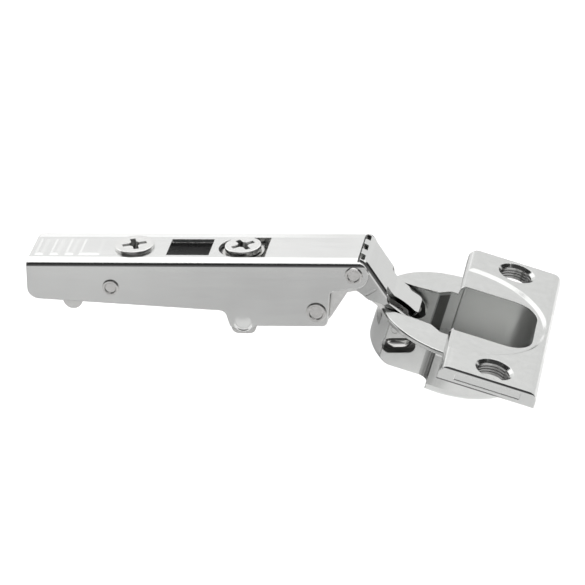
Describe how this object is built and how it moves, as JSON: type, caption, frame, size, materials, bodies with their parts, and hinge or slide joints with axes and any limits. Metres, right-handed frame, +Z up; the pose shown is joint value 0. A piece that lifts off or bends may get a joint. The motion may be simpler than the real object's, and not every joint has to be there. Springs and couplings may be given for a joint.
{
  "type": "cabinet hinge",
  "caption": "Concealed cabinet door hinge: clip-on channel arm with adjusting screws, two folded links and a tilted round cup with a screw flange.",
  "frame": {"origin": "on the mid plane, at the foot of the clip hooks where the arm sits on its mounting plate", "axes": "+X along the arm towards the cup, +Z up out of the arm's top; the rest pose is the hinge fully open"},
  "size_m": [0.1104, 0.055, 0.032],
  "materials": {
    "nickel_sheet": "nickel-plated pressed sheet steel, satin",
    "nickel_casting": "nickel-plated zinc casting, bright satin",
    "plated_fastener": "nickel-plated steel fasteners and pins",
    "spring_steel": "oiled spring steel"
  },
  "bodies": {
    "arm": {"arm_shell": "nickel_sheet", "clip_carrier": "nickel_sheet", "clamp_nut": "plated_fastener", "side_collar": "plated_fastener", "rear_rivet": "plated_fastener", "lower_rivet": "plated_fastener", "nose_pin": "plated_fastener", "nose_spacer": "plated_fastener", "lower_spacer": "plated_fastener", "lower_washers": "plated_fastener", "spring_seat": "nickel_casting", "closing_spring": "spring_steel", "lever_spring": "spring_steel"},
    "outer_link": {"outer_link": "nickel_sheet"},
    "inner_link": {"inner_link": "nickel_sheet"},
    "cup": {"hinge_cup": "nickel_casting", "wire_pins": "plated_fastener"},
    "release_lever": {"release_lever": "nickel_sheet"},
    "depth_screw": {"depth_screw": "plated_fastener"},
    "side_screw": {"side_screw": "plated_fastener"}
  },
  "joints": [
    {"name": "outer_swing", "type": "hinge", "parent": "arm", "child": "outer_link", "pos_m": [0.0248, 0, 0.0143], "axis": [0, -1, 0], "range_deg": [-35.1, 0]},
    {"name": "inner_swing", "type": "hinge", "parent": "arm", "child": "inner_link", "pos_m": [0.01625, 0, 0.00565], "axis": [0, -1, 0], "range_deg": [-30.73, 0]},
    {"name": "cup_swing", "type": "hinge", "parent": "outer_link", "child": "cup", "pos_m": [0.0357, 0, 0.00005], "axis": [0, -1, 0], "range_deg": [0, 144.19]},
    {"name": "lever_rock", "type": "hinge", "parent": "arm", "child": "release_lever", "pos_m": [-0.0277, 0, 0.01125], "axis": [0, 1, 0], "range_deg": [0, 7], "stiffness_Nm_per_rad": 0.05, "springref_deg": -5.73, "deforming": ["lever_spring"]},
    {"name": "depth_screw_turn", "type": "hinge", "parent": "arm", "child": "depth_screw", "pos_m": [-0.0234, 0, 0.0172], "axis": [0, 0, 1], "continuous": true},
    {"name": "side_screw_turn", "type": "hinge", "parent": "arm", "child": "side_screw", "pos_m": [0.00015, 0, 0.0172], "axis": [0, 0, 1], "continuous": true}
  ],
  "couplings": [
    {"joint": "outer_swing", "follows": "cup_swing", "ratio": -0.24333},
    {"joint": "inner_swing", "follows": "cup_swing", "ratio": -0.21301}
  ]
}
